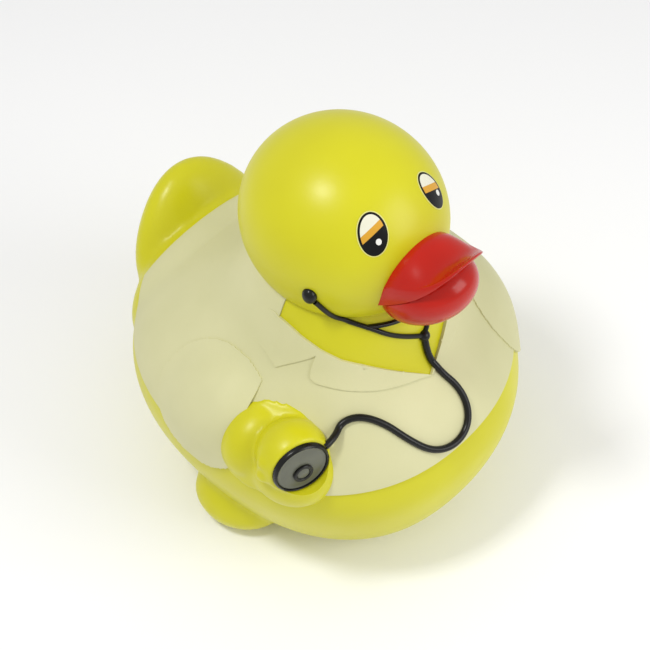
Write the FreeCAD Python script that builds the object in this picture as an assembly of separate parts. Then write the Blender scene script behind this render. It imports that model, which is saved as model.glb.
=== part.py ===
import FreeCAD, Part

import math
import os

from FreeCAD import Vector

# A duck-shaped floating chlorine dispenser, dressed as a doctor, in millimetres.
# +Z is up, the duck faces -Y, and its own left is +X. It is drawn about the upright axis of its
# cartridge and moved by plan_shift as it is saved, so that the origin is under the middle of the whole.

os.makedirs("parts", exist_ok=True)

plan_shift = -5.12

# Float
wall = 2.2                                # soft vinyl skin
plan_power = 2.2                          # 2 is an oval plan, and more is squarer
head_centre = Vector(0, -7.3, 121.2)
head_half = Vector(31.0, 33.0, 30.8)
neck_bore = 19.0                          # open way between the head and the torso
tail_centre, tail_half, tail_lean = Vector(0, 61.5, 57), Vector(28.5, 12, 31), -16
rump_centre, rump_half = Vector(0, 50, 48), Vector(40, 19, 29)
foot_centre, foot_half, foot_turn = Vector(-42, -2, 8), Vector(14, 17, 9), 20

# Body stations: height, half width, front Y, back Y
body_stations = [
    (0, 32, -40, 43),
    (2, 37, -45, 48),
    (7, 43, -50.5, 54),
    (17, 50, -57.5, 60),
    (32, 57, -63.5, 65.5),
    (46, 61, -65.5, 66.5),
    (58, 61, -61.8, 64),
    (68, 56.5, -54.8, 57.5),
    (77, 47, -45.5, 46.5),
    (86, 37, -40.5, 34),
    (96, 31, -37.5, 25),
    (106, 26, -33, 18),
]

# Coat and its relief
coat_rise = 0.9
lapel_rise = 0.8
lapel_gap = 0.03
head_room, tail_room = 0.3, 0.4           # the coat stops this far from the head and the tail
collar_top, collar_back = 103.0, 4.0
lapel_back = 2.0
hem_height, hem_slope = 58.5, 3.6         # at the middle of the body, lower in front, degrees
neckline = [(0, 77), (12.8, 86.6), (21.7, 94.3), (27.2, 101), (27.4, 112)]
lapel_edge = [(27.4, 103), (33.2, 90.6), (35.6, 84.6), (27.2, 91.2), (31.3, 83.8), (25.9, 81.2),
              (17.2, 79.2), (3, 75.6)]
cuff_y = -12.0
sleeve_centre, sleeve_half = Vector(-45.6, -1, 64), Vector(16, 21, 16.2)
wrist_centre, wrist_half = Vector(-45, -18, 63), Vector(15, 13, 15.5)
mitten_centre, mitten_half = Vector(-45.2, -31, 60.3), Vector(13, 16.5, 14.5)
fist_back, fist_radius = 7.0, 10.0        # the fist is this far behind the chestpiece's face
left_sleeve_centre, left_sleeve_half = Vector(43.5, -18.5, 60), Vector(14.2, 25.5, 16.5)
left_cuff_height = 50.0
left_hand_centre, left_hand_half = Vector(52.5, -23, 44), Vector(9, 12, 12)

# Bill
mouth_corner = Vector(14.4, -36.1, 117)
mouth_rise = 36                           # degrees, from the corner up to the tip
upper_bill_centre, upper_bill_half = Vector(0, -39, 122), Vector(15.4, 19.5, 10.5)
lower_bill_centre, lower_bill_half = Vector(0, -40.5, 117), Vector(13.6, 17, 11)

# Eyes
eye_half_width, eye_half_height, eye_print = 4.35, 6.5, 0.35
eye_centre = Vector(12.4, -30.6, 139.2)

# Stethoscope
tube_radius = 1.15
ear_radius = 1.0
ear_tip = Vector(-28.2, -21, 118)
ear_tip_half = Vector(2.1, 2.4, 2.8)
ear_root = Vector(27.6, -22.6, 115.8)     # where an ear tube leaves its tip
ear_route = [(25.6, 113.2), (21, 106), (14.5, 101.4), (7.6, 95)]
band_radius = 0.8
band_route = [(-14.5, 101.4), (-7, 99.6), (0, 99), (7, 99.6), (14.5, 101.4)]
junction_place, junction_radius = (2.6, 89), 1.9
neck_lift, coat_lift = 0.5, 0.75          # how far a cord's middle stands off what it lies on
tube_route = [(1.6, 83.5), (3.2, 76.8), (6.0, 71.6), (5.6, 65.6), (1.2, 61.0), (-6, 59.8),
              (-13.2, 62.4), (-18.2, 68), (-21.8, 73.4), (-26.6, 76.4), (-31.8, 75.8)]
tube_end = [Vector(-37.4, -41.2, 76.4), Vector(-41.6, -40.6, 75.0)]
chest_centre = Vector(-50.6, -40.1, 71.5)
chest_normal = Vector(-0.284, -0.954, 0.096)
chest_unit = Vector(chest_normal).normalize()
chest_radius, chest_height, chest_proud = 9.4, 4.6, 1.8
face_radius, face_depth, face_thickness = 8.4, 0.7, 0.5
ring_outer, ring_inner, ring_proud = 3.3, 2.1, 0.3
ring_shift = Vector(0.2, 0.1, -2.0)

# Cartridge
recess_radius, recess_depth = 29.0, 2.5
hole_radius = 24.5
well_bore, well_top = 22.0, 68.0
well_outer, well_roof = 24.0, 2.0
flange_radius, flange_bottom = 28.4, 1.0
gasket_thickness, inner_flange = 1.0, 2.0
ballast_radius, ballast_gap, ballast_height = 33.0, 0.3, 5.0
cap_radius, cap_bore = 21.95, 18.4
cap_bottom, cap_top = 1.2, 18.0
notch_count, notch_radius, notch_depth = 8, 2.2, 4.0
floor_bottom, floor_thickness = 8.0, 2.4
groove_bottom, groove_height, groove_radius = 12.5, 1.92, 20.06
seal_radius, seal_section = 21.02, 0.9
flow_radius, flow_thickness, flow_gap = 18.3, 1.9, 0.1
slot_count, slot_angle, slot_inner, slot_outer = 12, 13.0, 8.0, 16.5
grip_length, grip_width, grip_middle, grip_bottom, grip_round = 11.5, 3.2, 10.75, 1.8, 1.2
rivet_radius, rivet_head, rivet_top, rivet_foot = 2.0, 3.6, 1.2, 1.0
rivet_play, rivet_gap = 0.05, 0.1


def save(name, shape):
    """Write one node, a single solid where it can be."""
    if shape.ShapeType == "Compound" and len(shape.Solids) == 1:
        shape = shape.Solids[0]
    shape = shape.translated(Vector(0, plan_shift, 0))
    print(name, "solids", len(shape.Solids), "valid", shape.isValid(), "volume", round(shape.Volume, 1))
    shape.exportStep("parts/" + name + ".step")


def mirrored(shape):
    """The same piece on the duck's other side."""
    return shape.mirror(Vector(0, 0, 0), Vector(1, 0, 0))


def tube_between(outer, inner, bottom, top):
    """A plain ring about the vertical axis."""
    ring = Part.makeCylinder(outer, top - bottom, Vector(0, 0, bottom))
    return ring.cut(Part.makeCylinder(inner, top - bottom + 2, Vector(0, 0, bottom - 1)))


def plan_wire(half_x, front, back, height, count=24):
    """A level, slightly squared oval through the given front and back."""
    middle, half_y = (front + back) / 2, (back - front) / 2
    points = []
    for i in range(count):
        c, s = math.cos(2 * math.pi * i / count), math.sin(2 * math.pi * i / count)
        x = half_x * math.copysign(abs(c) ** (2 / plan_power), c)
        y = half_y * math.copysign(abs(s) ** (2 / plan_power), s)
        points.append(Vector(x, middle + y, height))
    curve = Part.BSplineCurve()
    curve.interpolate(points, PeriodicFlag=True)
    return Part.Wire(curve.toShape())


def body_solid(grow=0.0, bottom=0.0):
    """The torso from its base to inside the head, grown or shrunk all round."""
    rows = [row for row in body_stations if row[0] > bottom or row[0] == 0]
    wires = [plan_wire(w + grow, f - grow, b + grow, max(z, bottom)) for z, w, f, b in rows]
    return Part.makeLoft(wires, True, False)


def ball(centre, half, pitch=0.0, turn=0.0):
    """A ball stretched to half lengths, pitched about X, turned about Z, and put at its centre."""
    m = FreeCAD.Matrix()
    m.scale(half.x, half.y, half.z)
    m.rotateX(math.radians(pitch))
    m.rotateZ(math.radians(turn))
    m.move(centre)
    return Part.makeSphere(1.0).transformGeometry(m)


def shrunk(half, amount):
    """Half lengths less a wall."""
    return Vector(half.x - amount, half.y - amount, half.z - amount)


def prism_along_y(outline, front, back):
    """An outline in X and Z, carried along Y."""
    points = [Vector(x, front, z) for x, z in outline]
    face = Part.Face(Part.makePolygon(points + points[:1]))
    return face.extrude(Vector(0, back - front, 0))


def slab_above(height, slope):
    """Everything above a plane that dips towards the front by slope degrees."""
    block = Part.makeBox(300, 300, 150, Vector(-150, -150, 0))
    block.rotate(Vector(0, 0, 0), Vector(1, 0, 0), slope)
    block.translate(Vector(0, 0, height))
    return block


body = body_solid()
body_inner = body_solid(-wall, wall)
head = ball(head_centre, head_half)
head_inner = ball(head_centre, shrunk(head_half, wall))
tail = ball(tail_centre, tail_half, tail_lean)
rump = ball(rump_centre, rump_half)
foot = ball(foot_centre, foot_half, 0, foot_turn)
coated = body_solid(coat_rise)
print("main shapes made")


def front_point(x, z, solid):
    """The most forward point of a solid on the line through x and z."""
    line = Part.makeLine(Vector(x, -120, z), Vector(x, 20, z))
    cut = solid.common(line)
    return Vector(x, min(v.Point.y for v in cut.Vertexes), z)


def head_touch(place):
    """Where the line from the head's centre to a place leaves the head, and the outward direction there."""
    arm = place - head_centre
    arm = arm / math.hypot(arm.x / head_half.x, arm.y / head_half.y, arm.z / head_half.z)
    outward = Vector(arm.x / head_half.x ** 2, arm.y / head_half.y ** 2, arm.z / head_half.z ** 2)
    return head_centre + arm, outward.normalize()


def bent_path(points):
    """Straight runs joined by tangent arcs, each as large as its shorter run allows."""
    edges, start = [], points[0]
    for before, corner, after in zip(points, points[1:], points[2:]):
        a, b = (before - corner), (after - corner)
        reach = 0.45 * min(a.Length, b.Length)
        a.normalize()
        b.normalize()
        turn = math.pi - a.getAngle(b)
        radius = reach / math.tan(turn / 2)
        first, last = corner + a * reach, corner + b * reach
        inward = (a + b).normalize()
        centre = corner + inward * math.hypot(radius, reach)
        edges.append(Part.makeLine(start, first))
        edges.append(Part.Arc(first, centre - inward * radius, last).toShape())
        start = last
        print("  radius", round(radius, 1), "turn", round(math.degrees(turn)))
    edges.append(Part.makeLine(start, points[-1]))
    return Part.Wire(edges)


def cord(points, radius):
    """A round cord along a bent path."""
    path = bent_path(points)
    direction = (points[1] - points[0]).normalize()
    circle = Part.Wire(Part.makeCircle(radius, points[0], direction))
    solid = path.makePipeShell([circle], True, False)
    plain_volume = math.pi * radius ** 2 * path.Length
    print("  volume over section times length", round(solid.Volume / plain_volume, 3))
    return solid


def make_float():
    """The hollow torso with its tail and feet, and the hollow head on its neck."""
    outer = body.fuse(tail).fuse(rump).fuse(foot).fuse(mirrored(foot))
    hollow = body_inner.fuse(ball(tail_centre, shrunk(tail_half, wall), tail_lean))
    hollow = hollow.fuse(ball(rump_centre, shrunk(rump_half, wall)))
    inner_foot = ball(foot_centre, shrunk(foot_half, wall), 0, foot_turn)
    hollow = hollow.fuse(inner_foot).fuse(mirrored(inner_foot))
    hollow = hollow.cut(Part.makeBox(300, 300, 20, Vector(-150, -150, wall - 20)))
    lip = recess_depth + wall
    hollow = hollow.cut(Part.makeCylinder(recess_radius + wall, lip, Vector(0, 0, 0)))
    shell = outer.cut(hollow).cut(head)
    shell = shell.cut(Part.makeBox(300, 300, 20, Vector(-150, -150, -20)))
    shell = shell.cut(Part.makeCylinder(recess_radius, recess_depth, Vector(0, 0, 0)))
    shell = shell.cut(Part.makeCylinder(hole_radius, 20, Vector(0, 0, -5)))
    save("body_shell", shell)
    neck_way = Part.makeCylinder(neck_bore, 30, Vector(0, head_centre.y, head_centre.z - 40))
    save("head_shell", head.cut(head_inner).cut(neck_way))


def make_bill():
    """Two halves of the bill, parted along the mouth line that rises to the tip."""
    above = Part.makeBox(60, 90, 60, Vector(-30, -60, 0))
    above.rotate(Vector(0, 0, 0), Vector(1, 0, 0), -mouth_rise)
    above.translate(Vector(0, mouth_corner.y, mouth_corner.z))
    upper = ball(upper_bill_centre, upper_bill_half, -mouth_rise).common(above).cut(head)
    lower = ball(lower_bill_centre, lower_bill_half, -mouth_rise).cut(above).cut(head)
    save("upper_bill", upper)
    save("lower_bill", lower)


def make_eye():
    """One printed eye, a thin oval on the head, and its twin."""
    print_skin = ball(head_centre, shrunk(head_half, -eye_print)).cut(head)
    outward = (eye_centre - head_centre).normalize()
    oval = Part.Ellipse(Vector(0, 0, 0), eye_half_height, eye_half_width)
    column = Part.Face(Part.Wire(oval.toShape())).extrude(Vector(0, 0, 16))
    up = Vector(0, 0, 1) - outward * outward.z
    up.normalize()
    side = outward.cross(up)
    m = FreeCAD.Matrix(up.x, side.x, outward.x, eye_centre.x - 8 * outward.x,
                       up.y, side.y, outward.y, eye_centre.y - 8 * outward.y,
                       up.z, side.z, outward.z, eye_centre.z - 8 * outward.z,
                       0, 0, 0, 1)
    eye = print_skin.common(column.transformGeometry(m))
    save("left_eye", eye)
    save("right_eye", mirrored(eye))


def make_coat():
    """The raised white coat, open at the neck, and its two lapels."""
    opening = [(x, z) for x, z in neckline] + [(-x, z) for x, z in reversed(neckline[1:])]
    neck_cut = prism_along_y(opening, -120, collar_back)
    clear_tail = ball(tail_centre, shrunk(tail_half, -tail_room), tail_lean)
    clear_rump = ball(rump_centre, shrunk(rump_half, -tail_room))
    clear_head = ball(head_centre, shrunk(head_half, -head_room))
    coat = coated.cut(body).common(slab_above(hem_height, hem_slope))
    coat = coat.cut(neck_cut).cut(clear_tail.fuse(clear_rump)).cut(clear_head)
    coat = coat.cut(Part.makeBox(200, 200, 20, Vector(-100, -100, collar_top)))
    save("coat", coat)
    lapel_skin = body_solid(coat_rise + lapel_rise).cut(body_solid(coat_rise + lapel_gap))
    outline = [(-x, z) for x, z in neckline[:4] + lapel_edge]
    lapel = lapel_skin.common(prism_along_y(outline, -120, lapel_back)).cut(clear_head)
    lapel = max(lapel.Solids, key=lambda s: s.Volume)
    save("right_lapel", lapel)
    save("left_lapel", mirrored(lapel))


def make_arms():
    """Sleeves and yellow hands over the coat: the right hand holds the chestpiece, the left arm hangs."""
    behind_cuff = Part.makeBox(200, 200, 200, Vector(-100, cuff_y, 0))
    sleeve_ball = ball(sleeve_centre, sleeve_half)
    sleeve = sleeve_ball.common(behind_cuff).cut(coated)
    fist = Part.makeSphere(fist_radius, chest_centre - chest_unit * fist_back)
    hand = ball(wrist_centre, wrist_half).cut(behind_cuff).fuse(ball(mitten_centre, mitten_half)).fuse(fist)
    hand = hand.cut(coated).cut(sleeve).cut(chest_disc(3 * chest_radius, -chest_proud, 3 * chest_radius))
    hand = max(hand.Solids, key=lambda s: s.Volume)
    sleeve = max(sleeve.Solids, key=lambda s: s.Volume)
    save("right_sleeve", sleeve)
    save("right_hand", hand.cut(chest_disc(chest_radius, -chest_height, 0)))
    above_cuff = Part.makeBox(200, 200, 100, Vector(-100, -100, left_cuff_height))
    hanging = ball(left_sleeve_centre, left_sleeve_half).common(above_cuff).cut(coated)
    save("left_sleeve", max(hanging.Solids, key=lambda s: s.Volume))
    left_hand = ball(left_hand_centre, left_hand_half).cut(above_cuff).cut(coated)
    save("left_hand", max(left_hand.Solids, key=lambda s: s.Volume))


def chest_disc(radius, bottom, top):
    """A disc across the chestpiece's axis, between two heights from its front face."""
    return Part.makeCylinder(radius, top - bottom, chest_centre + chest_unit * bottom, chest_unit)


def make_chestpiece():
    """The chestpiece's drum, its sunk diaphragm, and the small ring and button on it."""
    face_bottom = -face_depth - face_thickness
    drum = chest_disc(chest_radius, -chest_height, 0).cut(chest_disc(face_radius, face_bottom, 1))
    save("chestpiece_drum", drum.cut(coated))
    save("chestpiece_face", chest_disc(face_radius, face_bottom, -face_depth))
    aside = ring_shift - chest_unit * ring_shift.dot(chest_unit)
    ring = chest_disc(ring_outer, -face_depth, ring_proud)
    ring = ring.cut(chest_disc(ring_inner, -face_depth, ring_proud))
    save("chestpiece_ring", ring.translated(aside))
    save("chestpiece_button", chest_disc(ring_inner, -face_depth, 0).translated(aside))


def make_stethoscope():
    """Ear tips, the two ear tubes, the spring band between them, the junction and the long tube."""
    neck_skin = body_solid(neck_lift).fuse(ball(head_centre, shrunk(head_half, -neck_lift)))
    coat_skin = body_solid(coat_rise + coat_lift)
    junction = front_point(*junction_place, neck_skin)
    touch, outward = head_touch(ear_tip)
    tip = ball(ear_tip, ear_tip_half).cut(Part.makeCylinder(6, 8, touch, outward * -1))
    save("right_ear_tip", tip)
    save("left_ear_tip", mirrored(tip))
    for side, word in ((-1, "right"), (1, "left")):
        root = Vector(side * ear_root.x, ear_root.y, ear_root.z)
        route = [root] + [front_point(side * x, z, neck_skin) for x, z in ear_route] + [junction]
        save(word + "_ear_tube", cord(route, ear_radius))
    save("spring_band", cord([front_point(x, z, neck_skin) for x, z in band_route], band_radius))
    save("tube_junction", Part.makeSphere(junction_radius, junction))
    route = [junction] + [front_point(x, z, coat_skin) for x, z in tube_route] + tube_end
    save("stethoscope_tube", cord(route, tube_radius))


def make_cartridge():
    """The tablet well in the base, its gasket, the ballast, and the cap with its flow ring."""
    lip_top = recess_depth + wall
    gasket_top = lip_top + gasket_thickness
    flange_top = gasket_top + inner_flange
    well = Part.makeCylinder(well_outer, well_top - flange_top, Vector(0, 0, flange_top))
    lower_flange = recess_depth - flange_bottom
    well = well.fuse(Part.makeCylinder(flange_radius, lower_flange, Vector(0, 0, flange_bottom)))
    well = well.fuse(Part.makeCylinder(hole_radius, gasket_top - recess_depth, Vector(0, 0, recess_depth)))
    well = well.fuse(Part.makeCylinder(flange_radius, inner_flange, Vector(0, 0, gasket_top)))
    well = well.cut(Part.makeCylinder(well_bore, well_top - well_roof, Vector(0, 0, 0)))
    save("cartridge_well", well)
    save("well_gasket", tube_between(flange_radius, hole_radius, lip_top, gasket_top))
    ballast = tube_between(ballast_radius, well_outer + ballast_gap, flange_top, flange_top + ballast_height)
    save("ballast_ring", ballast)

    floor_top = floor_bottom + floor_thickness
    cap = tube_between(cap_radius, cap_bore, cap_bottom, cap_top)
    cap = cap.fuse(Part.makeCylinder(cap_radius - 1, floor_thickness, Vector(0, 0, floor_bottom)))
    cap = cap.cut(tube_between(cap_radius + 1, groove_radius, groove_bottom, groove_bottom + groove_height))
    for i in range(notch_count):
        a = 2 * math.pi * i / notch_count
        place = Vector(cap_bore * math.cos(a), cap_bore * math.sin(a), cap_bottom)
        cap = cap.cut(Part.makeCylinder(notch_radius, notch_depth, place))
    slots = []
    for i in range(slot_count):
        sector = Part.makeCylinder(slot_outer, 20, Vector(0, 0, 0), Vector(0, 0, 1), slot_angle)
        sector = sector.cut(Part.makeCylinder(slot_inner, 20))
        sector.rotate(Vector(0, 0, 0), Vector(0, 0, 1), i * 360 / slot_count - slot_angle / 2)
        slots.append(sector)
    cap = cap.cut(Part.makeCompound(slots + [Part.makeCylinder(rivet_radius, 20)]))
    save("cartridge_cap", cap)
    middle = groove_bottom + groove_height / 2
    save("cap_seal", Part.makeTorus(seal_radius, seal_section, Vector(0, 0, middle)))

    flow_top = floor_bottom - flow_gap
    flow_bottom = flow_top - flow_thickness
    ring = Part.makeCylinder(flow_radius, flow_thickness, Vector(0, 0, flow_bottom))
    for side in (-1, 1):
        corner = Vector(side * grip_middle - grip_length / 2, -grip_width / 2, grip_bottom)
        grip = Part.makeBox(grip_length, grip_width, flow_bottom - grip_bottom, corner)
        grip = grip.makeFillet(grip_round, [e for e in grip.Edges if e.BoundBox.ZLength > 1])
        ring = ring.fuse(grip)
    half_step = 360 / slot_count / 2
    ring_band = Part.makeCylinder(flow_radius, flow_thickness, Vector(0, 0, flow_bottom))
    for slot in slots:
        shut = slot.common(ring_band)
        shut.rotate(Vector(0, 0, 0), Vector(0, 0, 1), half_step)
        ring = ring.cut(shut)
    ring = ring.cut(Part.makeCylinder(rivet_radius + rivet_play, 20))
    save("flow_ring", ring)
    rivet_bottom = flow_bottom - rivet_gap
    rivet = Part.makeCylinder(rivet_radius, floor_top - rivet_bottom, Vector(0, 0, rivet_bottom))
    rivet = rivet.fuse(Part.makeCylinder(rivet_head, rivet_top, Vector(0, 0, floor_top)))
    rivet = rivet.fuse(Part.makeCylinder(rivet_head, rivet_foot, Vector(0, 0, rivet_bottom - rivet_foot)))
    save("flow_rivet", rivet)


make_float()
make_bill()
make_eye()
make_coat()
make_arms()
make_chestpiece()
make_stethoscope()
make_cartridge()
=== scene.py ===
import bpy
import math
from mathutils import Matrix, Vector
from mathutils.bvhtree import BVHTree


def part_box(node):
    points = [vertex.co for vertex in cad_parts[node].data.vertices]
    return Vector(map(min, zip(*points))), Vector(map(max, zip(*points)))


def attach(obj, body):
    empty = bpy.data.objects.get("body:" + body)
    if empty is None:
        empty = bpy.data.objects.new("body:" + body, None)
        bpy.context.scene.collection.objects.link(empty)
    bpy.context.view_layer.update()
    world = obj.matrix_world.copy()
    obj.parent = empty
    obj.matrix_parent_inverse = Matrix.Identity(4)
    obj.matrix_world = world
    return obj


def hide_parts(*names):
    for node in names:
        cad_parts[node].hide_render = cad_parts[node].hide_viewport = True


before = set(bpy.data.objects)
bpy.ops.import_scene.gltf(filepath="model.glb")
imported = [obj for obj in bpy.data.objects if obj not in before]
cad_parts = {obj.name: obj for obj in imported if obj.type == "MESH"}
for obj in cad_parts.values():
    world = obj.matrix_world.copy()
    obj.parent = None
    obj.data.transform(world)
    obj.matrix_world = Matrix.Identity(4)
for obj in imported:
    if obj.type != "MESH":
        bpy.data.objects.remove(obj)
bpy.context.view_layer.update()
mm = 0.001
wellLow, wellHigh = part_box("cartridge_well")
axisY = (wellLow[1] + wellHigh[1]) / 2          # the cartridge's upright axis, which the duck is drawn about
print("frame loaded")


# helpers
def at(x, y, z):
    # millimetres from the cartridge's axis and the floor, to metres in the frame
    return Vector((x * mm, y * mm + axisY, z * mm))


def deselectAll():
    if bpy.context.object and bpy.context.object.mode != "OBJECT":
        bpy.ops.object.mode_set(mode="OBJECT")
    bpy.ops.object.select_all(action="DESELECT")


def makeActive(piece):
    deselectAll()
    piece.select_set(True)
    bpy.context.view_layer.objects.active = piece


def settle(piece):
    # place, turn and size go into the mesh
    makeActive(piece)
    bpy.ops.object.transform_apply(location=True, rotation=True, scale=True)


def applyModifier(piece, kind, **values):
    makeActive(piece)
    modifier = piece.modifiers.new(kind.title(), kind)
    for key, value in values.items():
        setattr(modifier, key, value)
    bpy.ops.object.modifier_apply(modifier=modifier.name)


def ball(name, centre, half, pitch=0, turn=0, segments=48, rings=32):
    deselectAll()
    bpy.ops.mesh.primitive_uv_sphere_add(radius=1, segments=segments, ring_count=rings)
    piece = bpy.context.object
    piece.name = name
    piece.scale = [h * mm for h in half]
    piece.rotation_euler = (math.radians(pitch), 0, math.radians(turn))
    piece.location = at(*centre)
    settle(piece)
    return piece


def joined(name, pieces):
    deselectAll()
    for piece in pieces:
        piece.select_set(True)
    bpy.context.view_layer.objects.active = pieces[0]
    bpy.ops.object.join()
    pieces[0].name = name
    return pieces[0]


def duplicate(piece, name):
    twin = piece.copy()
    twin.data = piece.data.copy()
    twin.name = name
    bpy.context.scene.collection.objects.link(twin)
    return twin


def remove(*pieces):
    for piece in pieces:
        bpy.data.objects.remove(piece, do_unlink=True)


def smoothShade(piece, angle=None):
    makeActive(piece)
    if angle is None:
        bpy.ops.object.shade_smooth()
    else:
        bpy.ops.object.shade_smooth_by_angle(angle=math.radians(angle))


def bisect(piece, point, normal, clear=False):
    makeActive(piece)
    bpy.ops.object.mode_set(mode="EDIT")
    bpy.ops.mesh.select_all(action="SELECT")
    bpy.ops.mesh.bisect(plane_co=point, plane_no=normal, clear_outer=clear, threshold=1e-7)
    bpy.ops.object.mode_set(mode="OBJECT")


def keepFaces(piece, wanted):
    # wanted(x, y, z) reads millimetres about the cartridge's axis
    makeActive(piece)
    mesh = piece.data
    for face in mesh.polygons:
        face.select = not wanted(*inMillimetres(face.center))
    bpy.ops.object.mode_set(mode="EDIT")
    bpy.ops.mesh.select_mode(type="FACE")
    bpy.ops.mesh.delete(type="FACE")
    bpy.ops.object.mode_set(mode="OBJECT")


def inside(x, z, outline):
    hit = False
    for (x1, z1), (x2, z2) in zip(outline, outline[1:] + outline[:1]):
        if (z1 > z) != (z2 > z) and x < x1 + (z - z1) * (x2 - x1) / (z2 - z1):
            hit = not hit
    return hit


def cutAlong(piece, outline):
    # cuts edges into the skin along each side of an outline in X and Z, carried through along Y
    for (x1, z1), (x2, z2) in zip(outline, outline[1:] + outline[:1]):
        bisect(piece, at(x1, 0, z1), Vector((z2 - z1, 0, x1 - x2)).normalized())


def moveVertices(piece, place):
    # place(point, normal) gives each vertex its new place
    mesh = piece.data
    normals = [v.normal.copy() for v in mesh.vertices]
    for vertex, normal in zip(mesh.vertices, normals):
        vertex.co = place(vertex.co, normal)
    mesh.update()


def inMillimetres(p):
    # the way back from at()
    return p.x / mm, (p.y - axisY) / mm, p.z / mm


def smoothStep(low, high, value):
    t = min(1, max(0, (value - low) / (high - low)))
    return t * t * (3 - 2 * t)


def farness(spot, centre, half):
    # 0 at the middle of an ellipsoid, 1 on its skin
    return math.sqrt(sum(((a - b) / c) ** 2 for a, b, c in zip(spot, centre, half)))


# shader groups
def newGroup(name, inputs, outputs):
    group = bpy.data.node_groups.new(name, "ShaderNodeTree")
    for label, kind, value in inputs:
        socket = group.interface.new_socket(name=label, in_out="INPUT", socket_type=kind)
        if value is not None:
            socket.default_value = value
    for label, kind in outputs:
        group.interface.new_socket(name=label, in_out="OUTPUT", socket_type=kind)
    start = group.nodes.new("NodeGroupInput")
    end = group.nodes.new("NodeGroupOutput")
    return group, start, end


def makeUnevenPaint():
    # slow drift between two colours, fine mottling, and a soft height to go with it
    group, start, end = newGroup("unevenPaint", [
        ("Colour", "NodeSocketColor", (0.5, 0.5, 0.5, 1)), ("Second colour", "NodeSocketColor", (0.5, 0.5, 0.5, 1)),
        ("Patch size", "NodeSocketFloat", 30.0), ("Fine size", "NodeSocketFloat", 900.0),
        ("Amount", "NodeSocketFloat", 0.5), ("Rough low", "NodeSocketFloat", 0.3),
        ("Rough high", "NodeSocketFloat", 0.5)],
        [("Colour", "NodeSocketColor"), ("Roughness", "NodeSocketFloat"), ("Height", "NodeSocketFloat")])
    n, link = group.nodes, group.links
    place = n.new("ShaderNodeTexCoord")
    slow = n.new("ShaderNodeTexNoise")
    slow.inputs["Detail"].default_value = 3
    fine = n.new("ShaderNodeTexNoise")
    fine.inputs["Detail"].default_value = 4
    link.new(place.outputs["Object"], slow.inputs["Vector"])
    link.new(place.outputs["Object"], fine.inputs["Vector"])
    link.new(start.outputs["Patch size"], slow.inputs["Scale"])
    link.new(start.outputs["Fine size"], fine.inputs["Scale"])
    spread = n.new("ShaderNodeMapRange")
    spread.inputs["From Min"].default_value = 0.35
    spread.inputs["From Max"].default_value = 0.65
    link.new(slow.outputs["Fac"], spread.inputs["Value"])
    share = n.new("ShaderNodeMath")
    share.operation = "MULTIPLY"
    link.new(spread.outputs["Result"], share.inputs[0])
    link.new(start.outputs["Amount"], share.inputs[1])
    mix = n.new("ShaderNodeMix")
    mix.data_type = "RGBA"
    link.new(share.outputs[0], mix.inputs["Factor"])
    link.new(start.outputs["Colour"], mix.inputs[6])
    link.new(start.outputs["Second colour"], mix.inputs[7])
    rough = n.new("ShaderNodeMapRange")
    link.new(slow.outputs["Fac"], rough.inputs["Value"])
    rough.inputs["From Min"].default_value = 0.3
    rough.inputs["From Max"].default_value = 0.7
    link.new(start.outputs["Rough low"], rough.inputs["To Min"])
    link.new(start.outputs["Rough high"], rough.inputs["To Max"])
    height = n.new("ShaderNodeMath")
    height.operation = "MULTIPLY_ADD"
    height.inputs[1].default_value = 0.3
    link.new(fine.outputs["Fac"], height.inputs[0])
    link.new(slow.outputs["Fac"], height.inputs[2])
    link.new(mix.outputs[2], end.inputs["Colour"])
    link.new(rough.outputs["Result"], end.inputs["Roughness"])
    link.new(height.outputs[0], end.inputs["Height"])
    return group


def makeSpecks():
    # a few dark specks of dirt in the finish
    group, start, end = newGroup("specks", [
        ("Base", "NodeSocketColor", (1, 1, 1, 1)), ("Speck colour", "NodeSocketColor", (0.05, 0.04, 0.02, 1)),
        ("Spacing", "NodeSocketFloat", 60.0), ("Size", "NodeSocketFloat", 0.04)], [("Colour", "NodeSocketColor")])
    n, link = group.nodes, group.links
    place = n.new("ShaderNodeTexCoord")
    cells = n.new("ShaderNodeTexVoronoi")
    cells.inputs["Randomness"].default_value = 1
    link.new(place.outputs["Object"], cells.inputs["Vector"])
    link.new(start.outputs["Spacing"], cells.inputs["Scale"])
    near = n.new("ShaderNodeMath")
    near.operation = "LESS_THAN"
    link.new(cells.outputs["Distance"], near.inputs[0])
    link.new(start.outputs["Size"], near.inputs[1])
    mix = n.new("ShaderNodeMix")
    mix.data_type = "RGBA"
    link.new(near.outputs[0], mix.inputs["Factor"])
    link.new(start.outputs["Base"], mix.inputs[6])
    link.new(start.outputs["Speck colour"], mix.inputs[7])
    link.new(mix.outputs[2], end.inputs["Colour"])
    return group


unevenPaint = makeUnevenPaint()
specks = makeSpecks()


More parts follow.
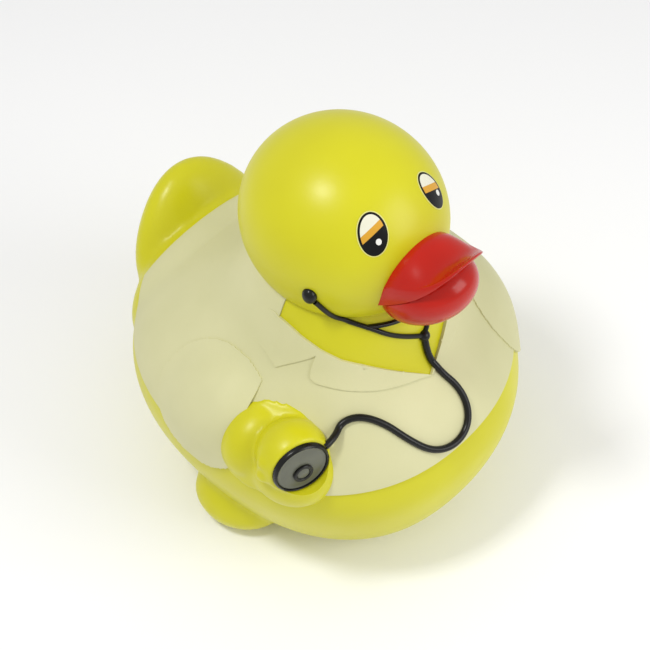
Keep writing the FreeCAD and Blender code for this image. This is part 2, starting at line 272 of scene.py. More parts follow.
def finishMaterial(name, look):
    material = bpy.data.materials.new(name)
    material.use_nodes = True
    n, link = material.node_tree.nodes, material.node_tree.links
    shader = n["Principled BSDF"]
    paint = n.new("ShaderNodeGroup")
    paint.node_tree = unevenPaint
    paint.inputs["Colour"].default_value = (*look["colour"], 1)
    paint.inputs["Second colour"].default_value = (*look["second"], 1)
    paint.inputs["Patch size"].default_value = look.get("patch", 30)
    paint.inputs["Fine size"].default_value = look.get("fine", 900)
    paint.inputs["Amount"].default_value = look.get("amount", 0.5)
    paint.inputs["Rough low"].default_value = look["rough"][0]
    paint.inputs["Rough high"].default_value = look["rough"][1]
    colour = paint.outputs["Colour"]
    if "specks" in look:
        dirt = n.new("ShaderNodeGroup")
        dirt.node_tree = specks
        dirt.inputs["Spacing"].default_value, dirt.inputs["Size"].default_value = look["specks"]
        link.new(colour, dirt.inputs["Base"])
        colour = dirt.outputs["Colour"]
    link.new(colour, shader.inputs["Base Color"])
    link.new(paint.outputs["Roughness"], shader.inputs["Roughness"])
    bump = n.new("ShaderNodeBump")
    bump.inputs["Strength"].default_value = look.get("bump", 0.1)
    bump.inputs["Distance"].default_value = look.get("depth", 0.0006)
    link.new(paint.outputs["Height"], bump.inputs["Height"])
    link.new(bump.outputs["Normal"], shader.inputs["Normal"])
    shader.inputs["Specular IOR Level"].default_value = look.get("specular", 0.5)
    shader.inputs["Metallic"].default_value = look.get("metallic", 0)
    shader.inputs["Coat Weight"].default_value = look.get("coat", 0)
    shader.inputs["Coat Roughness"].default_value = look.get("coatRough", 0.1)
    shader.inputs["Subsurface Weight"].default_value = look.get("glow", 0)
    shader.inputs["Subsurface Scale"].default_value = look.get("glowDepth", 0.004)
    if "glow" in look:
        shader.inputs["Subsurface Radius"].default_value = look.get("glowColour", (1, 0.8, 0.2))
    return material


finishes = {
    "yellowVinyl": dict(colour=(0.63, 0.60, 0.012), second=(0.57, 0.53, 0.01), patch=26, fine=420, amount=0.6,
                        rough=(0.30, 0.40), bump=0.16, depth=0.0006, glow=0.1, specular=0.35),
    "coatPaint": dict(colour=(0.65, 0.63, 0.36), second=(0.60, 0.585, 0.32), patch=38, fine=700, amount=0.7,
                      rough=(0.50, 0.62), bump=0.18, depth=0.0005, specks=(34, 0.022), specular=0.35),
    "redPaint": dict(colour=(0.50, 0.012, 0.004), second=(0.42, 0.008, 0.003), patch=60, fine=500, amount=0.6,
                     rough=(0.20, 0.28), bump=0.22, depth=0.0005, coat=0.12, coatRough=0.1, specular=0.25),
    "blackPaint": dict(colour=(0.006, 0.006, 0.005), second=(0.010, 0.010, 0.008), patch=90, amount=0.6,
                       rough=(0.24, 0.36), bump=0.15, depth=0.0004, specular=0.3),
    "greyPaint": dict(colour=(0.13, 0.135, 0.095), second=(0.10, 0.105, 0.075), patch=120, amount=0.7,
                      rough=(0.28, 0.38), bump=0.12, depth=0.0004),
    "eyeBlack": dict(colour=(0.005, 0.005, 0.005), second=(0.008, 0.008, 0.008), patch=90, rough=(0.25, 0.3),
                     bump=0.03, specular=0.2),
    "eyeWhite": dict(colour=(0.78, 0.77, 0.62), second=(0.72, 0.70, 0.54), patch=200, rough=(0.25, 0.32),
                     bump=0.04),
    "eyeLid": dict(colour=(0.68, 0.35, 0.02), second=(0.60, 0.29, 0.02), patch=200, rough=(0.25, 0.32), bump=0.04),
    "eyeHalo": dict(colour=(0.72, 0.70, 0.22), second=(0.70, 0.68, 0.20), patch=200, rough=(0.3, 0.36), bump=0.04),
    "eyeGlint": dict(colour=(0.8, 0.8, 0.74), second=(0.76, 0.76, 0.7), patch=200, rough=(0.25, 0.3), bump=0.03),
    "whitePlastic": dict(colour=(0.70, 0.70, 0.66), second=(0.64, 0.64, 0.60), patch=60, fine=1600, amount=0.5,
                         rough=(0.34, 0.46), bump=0.10, depth=0.0003),
    "greyPlastic": dict(colour=(0.30, 0.33, 0.35), second=(0.26, 0.29, 0.31), patch=70, fine=1600, amount=0.5,
                        rough=(0.36, 0.48), bump=0.10, depth=0.0003),
    "sealRubber": dict(colour=(0.015, 0.015, 0.015), second=(0.03, 0.03, 0.028), patch=140, rough=(0.6, 0.75),
                       bump=0.1),
    "ballastSteel": dict(colour=(0.42, 0.42, 0.41), second=(0.34, 0.33, 0.31), patch=90, rough=(0.3, 0.5),
                         metallic=1),
}
look = {name: finishMaterial(name, values) for name, values in finishes.items()}


def dress(piece, finish, body="duck", stands=()):
    piece.data.materials.clear()
    piece.data.materials.append(look[finish])
    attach(piece, body)
    if stands:
        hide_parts(*stands)


# camera, floor and light
view = dict(place=(-227.5, -224.9, 448.0), target=(0, 0.63, 62.1), lens=83.08)
cameraData = bpy.data.cameras.new("camera")
cameraData.lens = view["lens"]
cameraData.sensor_width = 36
camera = bpy.data.objects.new("camera", cameraData)
bpy.context.scene.collection.objects.link(camera)
camera.location = at(*view["place"])
camera.rotation_euler = (at(*view["target"]) - at(*view["place"])).to_track_quat("-Z", "Y").to_euler()
bpy.context.scene.camera = camera

deselectAll()
bpy.ops.mesh.primitive_plane_add(size=6, location=(0, 0, 0))
floor = bpy.context.object
floor.name = "floor"
floorLook = bpy.data.materials.new("floorLook")
floorLook.use_nodes = True
floorLook.node_tree.nodes["Principled BSDF"].inputs["Base Color"].default_value = (0.97, 0.97, 0.97, 1)
floorLook.node_tree.nodes["Principled BSDF"].inputs["Roughness"].default_value = 0.9
floor.data.materials.append(floorLook)

world = bpy.data.worlds.new("studio")
world.use_nodes = True
world.node_tree.nodes["Background"].inputs["Color"].default_value = (1, 1, 1, 1)
world.node_tree.nodes["Background"].inputs["Strength"].default_value = 0.62
bpy.context.scene.world = world
bpy.context.scene.view_settings.view_transform = "Standard"


def softBox(name, place, aim, size, power):
    data = bpy.data.lights.new(name, "AREA")
    data.shape = "RECTANGLE"
    data.size, data.size_y = size
    data.energy = power
    lamp = bpy.data.objects.new(name, data)
    bpy.context.scene.collection.objects.link(lamp)
    lamp.location = at(*place)
    lamp.rotation_euler = (at(*aim) - at(*place)).to_track_quat("-Z", "Y").to_euler()
    return lamp


softBox("keyLight", (-260, 60, 620), (0, 0, 80), (0.10, 0.10), 1.5)
softBox("fillLight", (200, -520, 380), (0, 0, 80), (0.35, 0.35), 1.5)
print("camera, floor and lights")

# the yellow float
duckFloat = dict(
    planPower=2.2, rings=44, around=120, voxel=1.35, wall=2.2,
    stations=[(0, 32, -40, 43), (2, 37, -45, 48), (7, 43, -50.5, 54), (17, 50, -57.5, 60), (32, 57, -63.5, 65.5),
              (46, 61, -65.5, 66.5), (58, 61, -61.8, 64), (68, 56.5, -54.8, 57.5), (77, 47, -45.5, 46.5),
              (86, 37, -40.5, 34), (96, 31, -37.5, 25), (106, 26, -33, 18)],
    tail=((0, 61.5, 57), (28.5, 12, 33.4), -16), rump=((0, 50, 51), (41, 18.5, 28)), tailTaper=(60, 90, 0.86),
    foot=((-42.5, -1, 10), (14, 17, 12), 20))


def between(rows, t):
    # a smooth value on a curve through all the rows, t from 0 to 1
    spot = t * (len(rows) - 1)
    i = min(int(spot), len(rows) - 2)
    f = spot - i
    before, a, b, after = rows[max(i - 1, 0)], rows[i], rows[i + 1], rows[min(i + 2, len(rows) - 1)]
    out = []
    for p0, p1, p2, p3 in zip(before, a, b, after):
        out.append(p1 + 0.5 * f * (p2 - p0 + f * (2 * p0 - 5 * p1 + 4 * p2 - p3 + f * (3 * (p1 - p2) + p3 - p0))))
    return out


def makeTorso():
    size = duckFloat
    rows = [between(size["stations"], i / (size["rings"] - 1)) for i in range(size["rings"])]
    deselectAll()
    z, w, front, back = rows[0]
    bpy.ops.mesh.primitive_circle_add(vertices=size["around"], radius=1, fill_type="NGON", location=(0, 0, 0))
    piece = bpy.context.object
    piece.name = "torso"
    bpy.ops.object.mode_set(mode="EDIT")
    bpy.ops.mesh.select_all(action="SELECT")
    bpy.ops.transform.resize(value=(w * mm, (back - front) / 2 * mm, 1))
    bpy.ops.transform.translate(value=at(0, (front + back) / 2, z))
    for (z1, w1, f1, b1), (z2, w2, f2, b2) in zip(rows, rows[1:]):
        step = at(0, (f2 + b2) / 2, z2) - at(0, (f1 + b1) / 2, z1)
        bpy.ops.mesh.extrude_region_move(TRANSFORM_OT_translate={"value": step})
        bpy.ops.transform.resize(value=(w2 / w1, (b2 - f2) / (b1 - f1), 1),
                                 center_override=at(0, (f2 + b2) / 2, z2))
    bpy.ops.mesh.select_all(action="SELECT")
    bpy.ops.mesh.normals_make_consistent(inside=False)
    bpy.ops.object.mode_set(mode="OBJECT")
    power = size["planPower"]
    halfAt = {round(row[0] * 1000): row for row in rows}

    def squarer(p, normal):
        x, y, z = inMillimetres(p)
        row = halfAt.get(round(z * 1000)) or min(rows, key=lambda r: abs(r[0] - z))
        middle, halfY = (row[2] + row[3]) / 2, (row[3] - row[2]) / 2
        u, v = x / row[1], (y - middle) / halfY
        length = math.hypot(u, v)
        if length < 1e-6:
            return p
        u, v = u / length, v / length
        grow = (abs(u) ** power + abs(v) ** power) ** (-1 / power)
        return at(u * grow * row[1], middle + v * grow * halfY, z)

    moveVertices(piece, squarer)
    return piece


def makeSkin():
    # torso, rump, tail and feet run into each other as one soft moulding
    size = duckFloat
    tail = ball("tail", *size["tail"][:2], pitch=size["tail"][2])
    low, high, narrow = size["tailTaper"]

    def tapered(p, normal):
        return Vector((p.x * (1 - (1 - narrow) * smoothStep(low, high, p.z / mm)), p.y, p.z))

    moveVertices(tail, tapered)
    parts = [makeTorso(), tail, ball("rump", *size["rump"])]
    centre, half, turn = size["foot"]
    parts.append(ball("footRight", centre, half, turn=turn))
    parts.append(ball("footLeft", (-centre[0], centre[1], centre[2]), half, turn=-turn))
    skin = joined("skin", parts)
    applyModifier(skin, "REMESH", mode="VOXEL", voxel_size=size["voxel"] * mm)
    applyModifier(skin, "SMOOTH", factor=0.5, iterations=14)
    trim = 0.15                                 # a sliver off the underside, then closed and set flat on the floor
    bisect(skin, (0, 0, trim * mm), (0, 0, -1), clear=True)
    makeActive(skin)
    bpy.ops.object.mode_set(mode="EDIT")
    bpy.ops.mesh.select_mode(type="EDGE")
    bpy.ops.mesh.select_all(action="DESELECT")
    bpy.ops.mesh.select_non_manifold()
    bpy.ops.mesh.edge_face_add()
    bpy.ops.object.mode_set(mode="OBJECT")
    moveVertices(skin, lambda p, n: Vector((p.x, p.y, 0 if p.z < (trim + 0.05) * mm else p.z)))
    smoothShade(skin)
    return skin


skin = makeSkin()
print("skin faces", len(skin.data.polygons))

# the white coat
coat = dict(
    rise=0.6, lapelRise=0.5, hem=((-10, 0, 59.8), (0.04, 0.035, -1)), collarTop=105.5, collarBack=-9,
    tailPlanes=[((0, 56.2, 67), (0, 1, 0.23)), ((0, 51.2, 61.4), (0, 1, -0.87))],
    neckline=[(0, 77), (8.5, 82.6), (14.1, 86.4), (19.3, 89.8), (23.7, 92.1), (26.9, 94.9), (28.6, 97.4),
              (29.1, 99.5), (29.4, 112)],
    lapelEdge=[(27.7, 103), (30.1, 99.6), (32.3, 95.2), (33.9, 91.8), (36.2, 85.6), (28.2, 92.9), (31.8, 85.8),
               (31.5, 84.6), (26.9, 83.1), (18.2, 80.9), (4.6, 78.3), (0.7, 77.1)],
    lapelFade=(-13, -2), lapelBack=2, chestRoom=(-10, 50, 8, 70))


def makeCoat():
    size = coat
    piece = duplicate(skin, "coat")
    for point, normal in [size["hem"]] + size["tailPlanes"]:
        bisect(piece, at(*point), Vector(normal).normalized(), clear=True)
    bisect(piece, at(0, 0, size["collarTop"]), (0, 0, 1), clear=True)
    bisect(piece, at(0, size["collarBack"], 0), (0, 1, 0))
    opening = size["neckline"] + [(-x, z) for x, z in reversed(size["neckline"][1:])]
    for (x1, z1), (x2, z2) in zip(size["neckline"], size["neckline"][1:]):
        for side in (1, -1):
            bisect(piece, at(side * x1, 0, z1), Vector((z2 - z1, 0, side * (x1 - x2))).normalized())
    keepFaces(piece, lambda x, y, z: y > size["collarBack"] or not inside(x, z, opening))
    applyModifier(piece, "SOLIDIFY", thickness=size["rise"] * mm, offset=1)
    applyModifier(piece, "BEVEL", width=0.3 * mm, segments=2, limit_method="ANGLE", angle_limit=math.radians(50))
    smoothShade(piece, 40)
    dress(piece, "coatPaint", stands=["coat"])
    return piece


def makeLapel(name, side):
    size = coat
    piece = duplicate(skin, name)
    outline = [(side * x, z) for x, z in size["neckline"][:-1]] + [(side * x, z) for x, z in size["lapelEdge"]]
    inner, outer, back, low = size["chestRoom"]
    keepFaces(piece, lambda x, y, z: y < back and inner < x * side < outer and z > low)
    cutAlong(piece, outline)
    bisect(piece, at(0, size["lapelBack"], 0), (0, 1, 0), clear=True)
    keepFaces(piece, lambda x, y, z: inside(x, z, outline))

    def laid(p, n):
        # the lapel sinks just under the coat towards the back of the neck
        sunk = size["lapelRise"] * 1.1 * smoothStep(*size["lapelFade"], inMillimetres(p)[1])
        return p + n * (size["rise"] - sunk) * mm

    moveVertices(piece, laid)
    applyModifier(piece, "SOLIDIFY", thickness=size["lapelRise"] * mm, offset=1)
    applyModifier(piece, "BEVEL", width=0.3 * mm, segments=2, limit_method="ANGLE", angle_limit=math.radians(50))
    smoothShade(piece, 40)
    dress(piece, "coatPaint", stands=[name.replace("Lapel", "_lapel")])


coatPiece = makeCoat()
makeLapel("rightLapel", -1)
makeLapel("leftLapel", 1)
print("coat and lapels")

# sleeves, laid on the coat
sleeves = {
    "rightSleeve": dict(centre=(-50, -1, 68), half=(22, 21, 19), puff=3.4, lip=0.5,
                        cuff=((0, -12, 0), (0.12, -1, 0.05)), node="right_sleeve"),
    "leftSleeve": dict(centre=(45, -24, 64), half=(20, 29, 20), puff=1.8, lip=0.5, cuff=((0, 0, 50), (0, 0, -1)),
                       node="left_sleeve"),
}


def makeSleeve(name):
    size = sleeves[name]
    piece = duplicate(skin, name)
    centre, half = size["centre"], size["half"]
    keepFaces(piece, lambda *spot: farness(spot, centre, half) < 1.15)
    bisect(piece, at(*size["cuff"][0]), Vector(size["cuff"][1]).normalized(), clear=True)
    applyModifier(piece, "SUBSURF", levels=1, render_levels=1)
    keepFaces(piece, lambda *spot: farness(spot, centre, half) < 1)

    def puffed(p, n):
        share = smoothStep(1.0, 0.25, farness(inMillimetres(p), centre, half))
        return p + n * (coat["rise"] + size["lip"] + size["puff"] * share) * mm

    moveVertices(piece, puffed)
    applyModifier(piece, "SMOOTH", factor=0.5, iterations=2)
    applyModifier(piece, "SOLIDIFY", thickness=(size["lip"] + 0.6) * mm, offset=-1)
    applyModifier(piece, "BEVEL", width=0.3 * mm, segments=2, limit_method="ANGLE", angle_limit=math.radians(50))
    smoothShade(piece, 40)
    dress(piece, "coatPaint", stands=[size["node"]])


for name in sleeves:
    makeSleeve(name)
print("sleeves")

# chestpiece
chestpiece = dict(centre=(-50.6, -40.1, 71.5), normal=(-0.284, -0.954, 0.096), radius=9.4, height=4.6, face=8.4,
                  depth=0.7, proud=1.8, ringShift=(0.2, 0.1, -2.0), ring=(2.1, 3.3))
chestAxis = Vector(chestpiece["normal"]).normalized()


def chestCylinder(name, radius, low, high, aside=(0, 0, 0), segments=96):
    # a plain cylinder along the chestpiece's axis, between two heights from its front face
    deselectAll()
    bpy.ops.mesh.primitive_cylinder_add(vertices=segments, radius=radius * mm, depth=(high - low) * mm)
    piece = bpy.context.object
    piece.name = name
    piece.rotation_euler = chestAxis.to_track_quat("Z", "Y").to_euler()
    piece.location = at(*(Vector(chestpiece["centre"]) + chestAxis * (low + high) / 2 + Vector(aside)))
    settle(piece)
    return piece


# hands, the right one holding the chestpiece between its fingers
hands = {
    "rightHand": dict(node="right_hand", voxel=0.7, bed=((-47.2, -24, 65), (17.4, 16.5, 15), 2.6), balls=[
        ((-45.4, -30, 60.6), (13.6, 15.4, 14.6)), ((-47, -18, 63.5), (14.5, 11, 14)),
        ((-48.6, -33.6, 70.8), (11.5, 11.5, 11.5))], frontRadius=12, frontAside=(-2.1, 1.2, 5.5),
        fingers=[(-44.6, -35, 76.4), (-49.4, -33.2, 78.6), (-54.0, -32.0, 77.0), (-57.2, -31.2, 73.6),
                 (-58.2, -31.4, 68.8)], fingerHalf=(3.1, 2.5)),
    "leftHand": dict(node="left_hand", voxel=0.8, balls=[
        ((52.5, -23, 45), (9, 12, 12)), ((50.5, -32, 42), (6, 6, 6.5))]),
}


def handBed(centre, half, puff):
    # the low pad that the hand grows out of, lifted off the coat
    piece = duplicate(skin, "handBed")
    keepFaces(piece, lambda *spot: farness(spot, centre, half) < 1)
    lift, depth = coat["rise"] + 0.4, 5

    def lifted(p, n):
        return p + n * (lift + puff * smoothStep(1.0, 0.3, farness(inMillimetres(p), centre, half))) * mm

    moveVertices(piece, lifted)
    applyModifier(piece, "SOLIDIFY", thickness=depth * mm, offset=-1)
    return piece


def makeHand(name):
    size = hands[name]
    parts = [ball("lobe", centre, half, segments=32, rings=20) for centre, half in size["balls"]]
    if "bed" in size:
        parts.append(handBed(*size["bed"]))
    inward = Vector(chestpiece["centre"]) - chestAxis * 5
    for knuckle in size.get("fingers", []):
        for share in (0, 0.25, 0.5):
            spot = Vector(knuckle).lerp(inward, share)
            half = size["fingerHalf"][0] * (1 - share) + size["fingerHalf"][1] * share
            parts.append(ball("finger", spot, (half, half, half), segments=24, rings=16))
    piece = joined(name, parts)
    applyModifier(piece, "REMESH", mode="VOXEL", voxel_size=size["voxel"] * mm)
    if "fingers" in size:
        front = chestCylinder("front", size["frontRadius"], -chestpiece["proud"], 30, size["frontAside"])
        applyModifier(piece, "BOOLEAN", operation="DIFFERENCE", object=front, solver="EXACT")
        remove(front)
        applyModifier(piece, "REMESH", mode="VOXEL", voxel_size=size["voxel"] * mm)
    applyModifier(piece, "SMOOTH", factor=0.5, iterations=4)
    if "fingers" in size:
        socket = chestCylinder("socket", chestpiece["radius"] - 0.1, -chestpiece["height"], 15)
        applyModifier(piece, "BOOLEAN", operation="DIFFERENCE", object=socket, solver="EXACT")
        remove(socket)
    smoothShade(piece, 60)
    dress(piece, "yellowVinyl", stands=[size["node"]])


for name in hands:
    makeHand(name)
print("hands")

# head
headSize = dict(centre=(0, -7.3, 121.2), half=(31, 33, 30.8))


def makeHead():
    piece = ball("head", headSize["centre"], headSize["half"], segments=128, rings=80)
    smoothShade(piece)
    dress(piece, "yellowVinyl", stands=["head_shell"])
    return piece


head = makeHead()

# bill
bill = dict(
    corner=(14.5, -35.6, 114.2), reach=21.4, climb=17.4, curl=7.4, height=17, tipShare=0.2, squareness=2.3,
    crown=1.85, blunt=0.38, lip=0.5, lipAt=0.955, lipWidth=0.03,
    jaw=((0, -42, 116.8), (14.4, 16.5, 10.9), -36), gap=0.3)


def mouthLine(y):
    # height of the mouth line, which climbs from the corners and curls up at the tip
    t = max(0, (bill["corner"][1] - y) / bill["reach"])
    return bill["corner"][2] + bill["climb"] * t + bill["curl"] * t ** 4


def footprint(u, v):
    # a round disc made a blunt spatula: u across, v forward
    r = math.hypot(u, v)
    if r < 1e-6:
        return 0, 0, 0
    power = bill["squareness"]
    grow = (abs(u / r) ** power + abs(v / r) ** power) ** (-1 / power)
    return u * grow * bill["corner"][0], v * grow * bill["reach"], r


def finishBill(piece, node):
    makeActive(piece)
    bpy.ops.object.mode_set(mode="EDIT")
    bpy.ops.mesh.select_all(action="SELECT")
    bpy.ops.mesh.remove_doubles(threshold=1e-6)
    bpy.ops.mesh.normals_make_consistent(inside=False)
    bpy.ops.object.mode_set(mode="OBJECT")
    smoothShade(piece, 50)
    dress(piece, "redPaint", stands=[node])


def makeUpperBill():
    size = bill
    piece = ball("upperBill", (0, 0, 0), (1 / mm, 1 / mm, 1 / mm), segments=96, rings=64)
    for vertex in piece.data.vertices:
        sx, sy, sz = vertex.co - at(0, 0, 0)
        u, v, r = footprint(sx, -sy)
        body = max(0, 1 - min(1, r) ** size["crown"])
        lipRidge = size["lip"] * math.exp(-((r - size["lipAt"]) / size["lipWidth"]) ** 2)
        height = size["height"] * (1 - (1 - size["tipShare"]) * smoothStep(0, 1, v / size["reach"]))
        rise = height * body ** size["blunt"] + lipRidge if sz > 0 else -0.5 * body
        y = size["corner"][1] - v
        vertex.co = at(u, y, mouthLine(y) + rise)
    finishBill(piece, "upper_bill")


def makeLowerBill():
    size = bill
    centre, half, pitch = size["jaw"]
    piece = ball("lowerBill", centre, half, pitch=pitch, segments=96, rings=64)

    def underMouth(p, n):
        x, y, z = inMillimetres(p)
        return at(x, y, min(z, mouthLine(y) - size["gap"]))

    moveVertices(piece, underMouth)
    finishBill(piece, "lower_bill")


makeUpperBill()
makeLowerBill()
print("head and bill")

# eyes, printed on the head
eyes = dict(centre=(12.4, -30.6, 139.2), halfWidth=4.35, halfHeight=6.5, rim=0.7, halo=0.35, film=0.12, layer=0.06,
            lidTop=2.0, lidBottom=-0.3, lidSlope=0.62, lidGap=0.02, glint=(1.3, -2.5), glintSize=(0.85, 0.95),
            glintLift=0.14)


def eyeLayer(name, side, halfWidth, halfHeight, lift, finish, above=None, below=None, shift=(0, 0), stands=()):
    size = eyes
    deselectAll()
    bpy.ops.mesh.primitive_circle_add(vertices=64, radius=1, fill_type="TRIFAN")
    piece = bpy.context.object
    piece.name = name
    bpy.ops.object.mode_set(mode="EDIT")
    bpy.ops.mesh.select_all(action="SELECT")
    bpy.ops.mesh.subdivide(number_cuts=7)
    bpy.ops.object.mode_set(mode="OBJECT")
    piece.scale = (halfWidth * mm, halfHeight * mm, 1)
    settle(piece)
    for line, sign in ((above, -1), (below, 1)):
        if line is not None:
            slope = Vector((sign * size["lidSlope"] * side, sign, 0)).normalized()
            bisect(piece, (0, line * mm, 0), slope, clear=True)
    centre = Vector((side * size["centre"][0], size["centre"][1], size["centre"][2]))
    outward = (centre - Vector(headSize["centre"])).normalized()
    up = (Vector((0, 0, 1)) - outward * outward.z).normalized()
    across = up.cross(outward)
    middle, half = Vector(headSize["centre"]), headSize["half"]
    for vertex in piece.data.vertices:
        a, b = vertex.co.x / mm + shift[0], vertex.co.y / mm + shift[1]
        p = centre + across * a + up * b - middle
        scale = 1 / math.sqrt(sum((c / h) ** 2 for c, h in zip(p, half)))
        onHead = p * scale
        normal = Vector([c / h ** 2 for c, h in zip(onHead, half)]).normalized()
        vertex.co = at(*(middle + onHead + normal * lift))
    applyModifier(piece, "SOLIDIFY", thickness=size["film"] * mm, offset=1)
    smoothShade(piece, 40)
    dress(piece, finish, stands=stands)
    return piece


def makeEye(side, word):
    size = eyes
    w, h = size["halfWidth"], size["halfHeight"]
    inner = w - size["rim"], h - size["rim"], size["layer"] * 2
    eyeLayer(word + "EyeHalo", side, w + size["halo"], h + size["halo"], 0.0, "eyeHalo")
    eyeLayer(word + "EyeRim", side, w, h, size["layer"], "eyeBlack", stands=[word + "_eye"])
    eyeLayer(word + "EyeWhite", side, *inner, "eyeWhite", above=size["lidTop"] + size["lidGap"])
    eyeLayer(word + "EyeLid", side, *inner, "eyeLid", above=size["lidBottom"], below=size["lidTop"])
    eyeLayer(word + "EyeGlint", side, *size["glintSize"], size["glintLift"], "eyeGlint", shift=size["glint"])


makeEye(-1, "right")
makeEye(1, "left")
print("eyes")

# stethoscope, moulded on the coat and the neck
stethoscope = dict(
    tubeRadius=1.15, earRadius=0.8, bandRadius=0.8, neckLift=0.5, bandLift=0.35, coatLift=0.7, junction=(2.6, 89),
    junctionSize=1.9,
    earTip=(28.2, -21, 118), earTipSize=(2.1, 2.4, 2.8), earRoot=(27.6, -22.6, 115.8),
    earRoute=[(25.6, 113.2), (21, 106), (14.5, 101.4), (7.6, 95)],
    bandRoute=[(-14.5, 101.4), (-7, 99.6), (0, 99), (7, 99.6), (14.5, 101.4)],
    tubeRoute=[(1.6, 83.5), (3.2, 76.8), (6.0, 71.6), (5.6, 65.6), (1.2, 61.0), (-6, 59.8),
               (-13.2, 62.4), (-18.2, 68), (-21.8, 73.4), (-26.6, 76.4), (-31.8, 75.8)],
    tubeEnd=[(-37.4, -41.2, 76.4), (-41.6, -40.6, 75.0)])


def treeOf(*pieces):
    vertices, faces = [], []
    for piece in pieces:
        offset = len(vertices)
        vertices += [v.co.copy() for v in piece.data.vertices]
        faces += [[offset + i for i in f.vertices] for f in piece.data.polygons]
    return BVHTree.FromPolygons(vertices, faces)


frontSurface = treeOf(skin, head, coatPiece)


def frontPoint(x, z, lift):
    hit = frontSurface.ray_cast(at(x, -150, z), Vector((0, 1, 0)))
    return hit[0] + hit[1] * lift * mm


def smoothCord(name, points, radius, stands, hug):
    # a round bead along a smooth curve; hug is how far its middle stands off the surface under it,
    # and whether its start and its end are let go of
    data = bpy.data.curves.new(name + "Path", "CURVE")
    data.dimensions = "3D"
    spline = data.splines.new("NURBS")
    spline.points.add(len(points) - 1)
    for spot, p in zip(spline.points, points):
        spot.co = (*p, 1)
    spline.order_u = 3
    spline.use_endpoint_u = True
    data.resolution_u = 12
    guide = bpy.data.objects.new(name + "Path", data)
    bpy.context.scene.collection.objects.link(guide)
    line = bpy.data.meshes.new_from_object(guide.evaluated_get(bpy.context.evaluated_depsgraph_get()))
    spots = [v.co.copy() for v in line.vertices]
    stand, freeStart, freeEnd = hug
    last = len(spots) - 1
    for i, p in enumerate(spots):
        near, normal = frontSurface.find_nearest(p)[:2]
        share = smoothStep(0, 0.06, i / last) if freeStart else 1
        share *= smoothStep(1.0, 0.88, i / last) if freeEnd else 1
        spots[i] = p.lerp(near + normal * stand * mm, share)
    for _ in range(3):
        spots = [spots[0]] + [(a + b * 2 + c) / 4 for a, b, c in zip(spots, spots[1:], spots[2:])] + [spots[-1]]
    remove(guide)
    bead = bpy.data.curves.new(name, "CURVE")
    bead.dimensions = "3D"
    path = bead.splines.new("POLY")
    path.points.add(len(spots) - 1)
    for spot, p in zip(path.points, spots):
        spot.co = (*p, 1)
    bead.bevel_depth = radius * mm
    bead.bevel_resolution = 5
    bead.use_fill_caps = True
    piece = bpy.data.objects.new(name, bead)
    bpy.context.scene.collection.objects.link(piece)
    makeActive(piece)
    bpy.ops.object.convert(target="MESH")
    piece = bpy.context.object
    smoothShade(piece, 50)
    dress(piece, "blackPaint", stands=stands)


def makeStethoscope():
    size = stethoscope
    lift = size["neckLift"]
    junction = frontPoint(*size["junction"], lift)
    for side, word in ((-1, "right"), (1, "left")):
        start = at(side * size["earRoot"][0], *size["earRoot"][1:])
        route = [start] + [frontPoint(side * x, z, lift) for x, z in size["earRoute"]] + [junction]
        smoothCord(word + "EarTube", route, size["earRadius"], stands=[word + "_ear_tube"], hug=(lift, True, False))
        tipPlace = (side * size["earTip"][0], *size["earTip"][1:])
        tip = ball(word + "EarTip", tipPlace, size["earTipSize"], segments=40, rings=24)
        smoothShade(tip)
        dress(tip, "blackPaint", stands=[word + "_ear_tip"])
    band = [frontPoint(x, z, lift) for x, z in size["bandRoute"]]
    smoothCord("springBand", band, size["bandRadius"], stands=["spring_band"], hug=(size["bandLift"], False, False))
    knot = ball("tubeJunction", inMillimetres(junction), [size["junctionSize"]] * 3, segments=32, rings=20)
    smoothShade(knot)
    dress(knot, "blackPaint", stands=["tube_junction"])
    lift = size["coatLift"]
    route = [junction] + [frontPoint(x, z, lift) for x, z in size["tubeRoute"]] + [at(*p) for p in size["tubeEnd"]]
    smoothCord("stethoscopeTube", route, size["tubeRadius"], stands=["stethoscope_tube"], hug=(lift, True, True))


makeStethoscope()
print("stethoscope")


# turned parts of the chestpiece
def turned(name, profile, finish, stands, shift=(0, 0, 0), segments=96):
    # a profile of (radius, height) rows in millimetres, spun about the chestpiece's axis
    size = chestpiece
    data = bpy.data.meshes.new(name)
    data.from_pydata([(r * mm, 0, h * mm) for r, h in profile], [(i, i + 1) for i in range(len(profile) - 1)], [])
    piece = bpy.data.objects.new(name, data)
    bpy.context.scene.collection.objects.link(piece)
    makeActive(piece)
    bpy.ops.object.mode_set(mode="EDIT")
    bpy.ops.mesh.select_all(action="SELECT")
    bpy.ops.mesh.spin(steps=segments, angle=math.tau, center=(0, 0, 0), axis=(0, 0, 1))
    bpy.ops.mesh.select_all(action="SELECT")
    bpy.ops.mesh.remove_doubles(threshold=1e-6)
    bpy.ops.mesh.normals_make_consistent(inside=False)
    bpy.ops.object.mode_set(mode="OBJECT")
    aside = Vector(shift) - chestAxis * Vector(shift).dot(chestAxis)
    piece.rotation_euler = chestAxis.to_track_quat("Z", "Y").to_euler()
    piece.location = at(*(Vector(size["centre"]) + aside))
    settle(piece)
    smoothShade(piece, 35)
    dress(piece, finish, stands=stands)


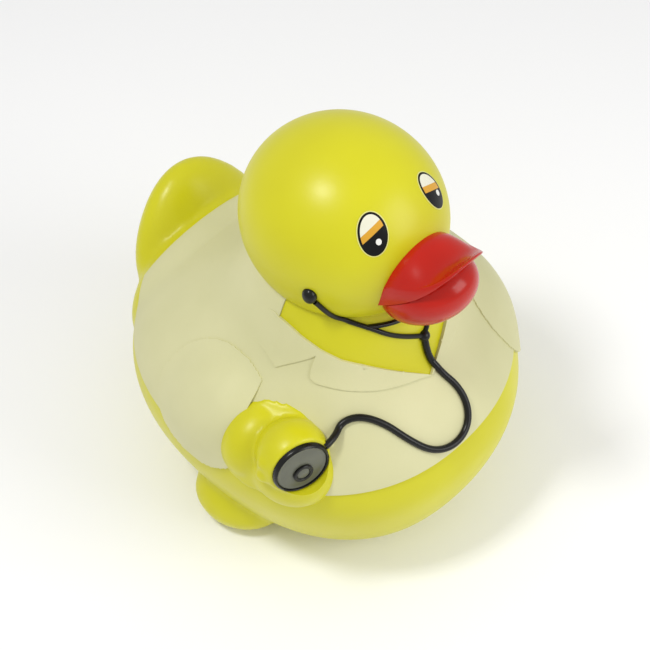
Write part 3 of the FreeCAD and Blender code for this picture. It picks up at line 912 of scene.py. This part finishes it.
def makeChestpiece():
    size = chestpiece
    r, h, f, d = size["radius"], size["height"], size["face"], size["depth"]
    turned("chestpieceDrum", [(0, -h), (r - 0.9, -h), (r - 0.3, -h + 0.25), (r, -h + 0.8), (r, -0.9),
                              (r - 0.25, -0.3), (r - 0.7, 0), (f + 0.35, 0), (f + 0.08, -0.2), (f, -d - 0.4),
                              (0, -d - 0.4)],
           "blackPaint", ["chestpiece_drum"])
    turned("chestpieceFace", [(0, -d - 0.35), (f - 0.05, -d - 0.35), (f - 0.05, -d + 0.1), (f - 0.35, -d + 0.2),
                              (f - 0.9, -d - 0.02), (f - 1.3, -d), (f * 0.6, -d + 0.12), (0, -d + 0.2)],
           "greyPaint", ["chestpiece_face"])
    a, b = size["ring"]
    turned("chestpieceRing", [(a, -d), (a, 0.1), (a + 0.25, 0.3), (b - 0.25, 0.3), (b, 0.1), (b, -d), (a, -d)],
           "blackPaint", ["chestpiece_ring"], size["ringShift"])
    turned("chestpieceButton", [(0, -d), (a - 0.02, -d), (a - 0.02, -0.1), (a - 0.3, 0.05), (0, 0.12)],
           "greyPaint", ["chestpiece_button"], size["ringShift"])


makeChestpiece()
print("chestpiece")

# hollow float and cartridge
recess = dict(radius=29.0, height=2.5, wellHole=24.5, wellHoleTop=12)


def cutAway(piece, radius, low, high):
    deselectAll()
    bpy.ops.mesh.primitive_cylinder_add(vertices=96, radius=radius * mm, depth=(high - low) * mm,
                                        location=at(0, 0, (low + high) / 2))
    tool = bpy.context.object
    applyModifier(piece, "BOOLEAN", operation="DIFFERENCE", object=tool, solver="EXACT")
    remove(tool)


def finishFloat():
    piece = skin
    piece.name = "floatBody"
    cutAway(piece, recess["radius"], -1, recess["height"])
    applyModifier(piece, "SOLIDIFY", thickness=duckFloat["wall"] * mm, offset=-1)
    cutAway(piece, recess["wellHole"], -1, recess["wellHoleTop"])
    smoothShade(piece, 45)
    dress(piece, "yellowVinyl", stands=["body_shell"])


finishFloat()

nodeFinish = {
    "cartridge_well": "whitePlastic", "well_gasket": "sealRubber", "ballast_ring": "ballastSteel",
    "cap_seal": "sealRubber", "cartridge_cap": "whitePlastic", "flow_ring": "greyPlastic",
    "flow_rivet": "whitePlastic"}
for nodeName, finish in nodeFinish.items():
    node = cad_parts[nodeName]
    node.data.materials.clear()
    node.data.materials.append(look[finish])
print("float and cartridge")
